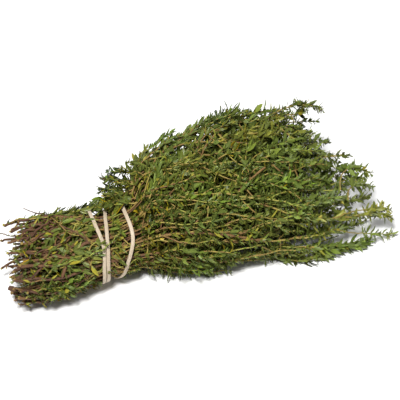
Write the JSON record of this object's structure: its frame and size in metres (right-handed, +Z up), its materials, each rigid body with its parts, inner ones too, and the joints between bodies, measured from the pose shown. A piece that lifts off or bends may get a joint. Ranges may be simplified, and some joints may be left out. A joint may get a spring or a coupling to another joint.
{
  "type": "thyme bundle",
  "caption": "Bunch of fresh thyme lying on its side, leafy sprigs fanning out from woody cut stems, held at the waist by a flat rubber band wound round it.",
  "frame": {"origin": "on the surface that the bundle lies on, under the middle of its bounding box", "axes": "+X from the cut stem ends to the leafy tips, +Y to the far side, +Z up"},
  "size_m": [0.2328, 0.1127, 0.0641],
  "materials": {
    "thyme_green": "matte living leaf and stem",
    "thyme_fresh": "matte living leaf and stem",
    "thyme_deep": "matte living leaf and stem",
    "thyme_olive": "matte living leaf and stem",
    "rubber_band": "plain undyed rubber, satin"
  },
  "bodies": {
    "root": {"sprig_01": "thyme_green", "sprig_02": "thyme_fresh", "sprig_03": "thyme_deep", "sprig_04": "thyme_olive", "sprig_05": "thyme_green", "sprig_06": "thyme_fresh", "sprig_07": "thyme_deep", "sprig_08": "thyme_olive", "sprig_09": "thyme_green", "sprig_10": "thyme_fresh", "sprig_11": "thyme_deep", "sprig_12": "thyme_olive", "sprig_13": "thyme_green", "sprig_14": "thyme_fresh", "sprig_15": "thyme_deep", "sprig_16": "thyme_olive", "sprig_17": "thyme_green", "sprig_18": "thyme_fresh", "sprig_19": "thyme_deep", "sprig_20": "thyme_olive", "sprig_21": "thyme_green", "sprig_22": "thyme_fresh", "sprig_23": "thyme_deep", "sprig_24": "thyme_olive", "sprig_25": "thyme_green", "sprig_26": "thyme_fresh", "sprig_27": "thyme_deep", "sprig_28": "thyme_olive", "sprig_29": "thyme_green", "sprig_30": "thyme_fresh", "sprig_31": "thyme_deep", "sprig_32": "thyme_olive", "sprig_33": "thyme_green", "sprig_34": "thyme_fresh", "sprig_35": "thyme_deep", "sprig_36": "thyme_olive", "sprig_37": "thyme_green", "sprig_38": "thyme_fresh", "sprig_39": "thyme_deep", "sprig_40": "thyme_olive", "sprig_41": "thyme_green", "sprig_42": "thyme_fresh", "sprig_43": "thyme_deep", "rubber_band": "rubber_band"}
  },
  "joints": []
}
